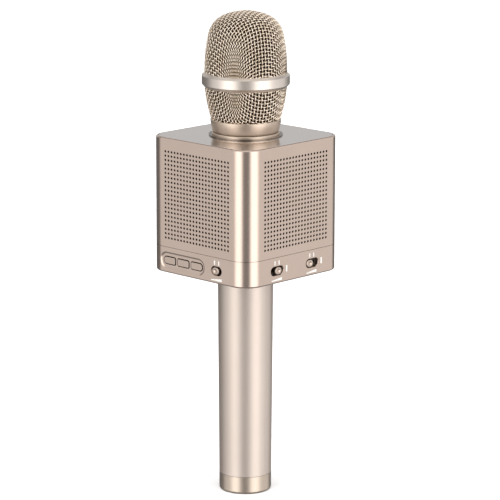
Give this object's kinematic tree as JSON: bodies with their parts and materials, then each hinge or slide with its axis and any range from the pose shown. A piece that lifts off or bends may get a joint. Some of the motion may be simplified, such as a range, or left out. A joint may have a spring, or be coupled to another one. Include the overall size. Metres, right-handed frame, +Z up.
{
  "type": "karaoke microphone",
  "caption": "Wireless karaoke microphone: tapered round handle, cube-shaped loudspeaker body with perforated faces, push buttons and slide controls, and a screw-on wire-mesh ball grille.",
  "frame": {"origin": "middle of the end cap's underside, on the axis that the handle, the cube and the head share", "axes": "+Z up along the handle to the ball grille; -Y out of the face with the push buttons; +X out of the face with the two slide controls side by side"},
  "size_m": [0.0805, 0.0805, 0.2832],
  "materials": {
    "champagne_paint": "satin champagne metallic lacquer on aluminium",
    "polished_plate": "polished, pale silver",
    "satin_silver": "satin turned, pale champagne silver",
    "grille_wire": "woven wire, plated",
    "foam": "open-cell foam",
    "control_caps": "satin metallic lacquer on plastic",
    "cloth": "woven dust cloth",
    "black_rubber": "matt",
    "black_plastic": "moulded",
    "paper_cone": "pressed cone",
    "zinc_steel": "zinc plated",
    "spring_steel": "nickel plated",
    "copper": "enamelled winding",
    "cell_wrap": "shrink sleeve over a steel can",
    "board": "green solder mask",
    "led_lens": "clear lens"
  },
  "bodies": {
    "body": {"audio_jack": "black_plastic", "base_shell": "champagne_paint", "battery_cell": "cell_wrap", "battery_sleeve": "black_plastic", "button_board": "board", "capsule_mount": "black_rubber", "capsule_post": "black_plastic", "contact_holder": "black_plastic", "dust_caps": "paper_cone", "dust_cloths": "cloth", "handle_flange": "zinc_steel", "handle_screws": "zinc_steel", "handle_tube": "champagne_paint", "housing_screws": "zinc_steel", "main_pcb": "board", "mic_capsule": "zinc_steel", "neck": "satin_silver", "neck_ring": "satin_silver", "neck_screws": "zinc_steel", "pcb_components": "board", "pcb_screws": "zinc_steel", "positive_contact": "spring_steel", "slider_bodies": "black_plastic", "speaker_cone_back": "paper_cone", "speaker_cone_front": "paper_cone", "speaker_cone_left": "paper_cone", "speaker_cone_right": "paper_cone", "speaker_frame_back": "zinc_steel", "speaker_frame_front": "zinc_steel", "speaker_frame_left": "zinc_steel", "speaker_frame_right": "zinc_steel", "speaker_gaskets": "black_rubber", "speaker_housing": "champagne_paint", "speaker_magnet_back": "zinc_steel", "speaker_magnet_front": "zinc_steel", "speaker_magnet_left": "zinc_steel", "speaker_magnet_right": "zinc_steel", "speaker_surrounds": "black_rubber", "status_led": "led_lens", "tact_switches": "black_plastic", "top_plate": "polished_plate", "usb_port": "zinc_steel", "voice_coils": "copper"},
    "left_button": {"button_left": "control_caps"},
    "middle_button": {"button_middle": "control_caps"},
    "right_button": {"button_right": "control_caps"},
    "front_slider": {"slider_knob_front": "control_caps"},
    "right_near_slider": {"slider_knob_right_near": "control_caps"},
    "right_far_slider": {"slider_knob_right_far": "control_caps"},
    "windscreen": {"windscreen_foam": "foam"},
    "grille": {"grille_collar": "satin_silver", "grille_mesh_lower": "grille_wire", "grille_band": "satin_silver", "grille_mesh_upper": "grille_wire"},
    "cap_contacts": {"cap_o_ring": "black_rubber", "negative_contact": "spring_steel", "negative_spring": "spring_steel"},
    "cap": {"end_cap": "champagne_paint"}
  },
  "joints": [
    {"name": "left_button_press", "type": "slide", "parent": "body", "child": "left_button", "axis": [0, 1, 0], "range_m": [0, 0.0004], "stiffness_N_per_m": 1500},
    {"name": "middle_button_press", "type": "slide", "parent": "body", "child": "middle_button", "axis": [0, 1, 0], "range_m": [0, 0.0004], "stiffness_N_per_m": 1500},
    {"name": "right_button_press", "type": "slide", "parent": "body", "child": "right_button", "axis": [0, 1, 0], "range_m": [0, 0.0004], "stiffness_N_per_m": 1500},
    {"name": "front_slider_slide", "type": "slide", "parent": "body", "child": "front_slider", "axis": [1, 0, 0], "range_m": [-0.0008, 0.0016]},
    {"name": "right_near_slider_slide", "type": "slide", "parent": "body", "child": "right_near_slider", "axis": [0, 1, 0], "range_m": [-0.0029, 0.0017]},
    {"name": "right_far_slider_slide", "type": "slide", "parent": "body", "child": "right_far_slider", "axis": [0, 1, 0], "range_m": [0, 0.0046]},
    {"name": "grille_lift", "type": "slide", "parent": "body", "child": "windscreen", "axis": [0, 0, 1], "range_m": [0, 0.006]},
    {"name": "grille_unscrew", "type": "hinge", "parent": "windscreen", "child": "grille", "pos_m": [0, 0, 0.2205], "axis": [0, 0, 1], "range_deg": [0, 1441]},
    {"name": "cap_drop", "type": "slide", "parent": "body", "child": "cap_contacts", "axis": [0, 0, -1], "range_m": [0, 0.006]},
    {"name": "cap_unscrew", "type": "hinge", "parent": "cap_contacts", "child": "cap", "pos_m": [0, 0, 0.0103], "axis": [0, 0, -1], "range_deg": [0, 1441]}
  ],
  "couplings": [
    {"joint": "grille_unscrew", "follows": "grille_lift", "rad_per_m": 4188.8},
    {"joint": "cap_unscrew", "follows": "cap_drop", "rad_per_m": 4188.8}
  ]
}
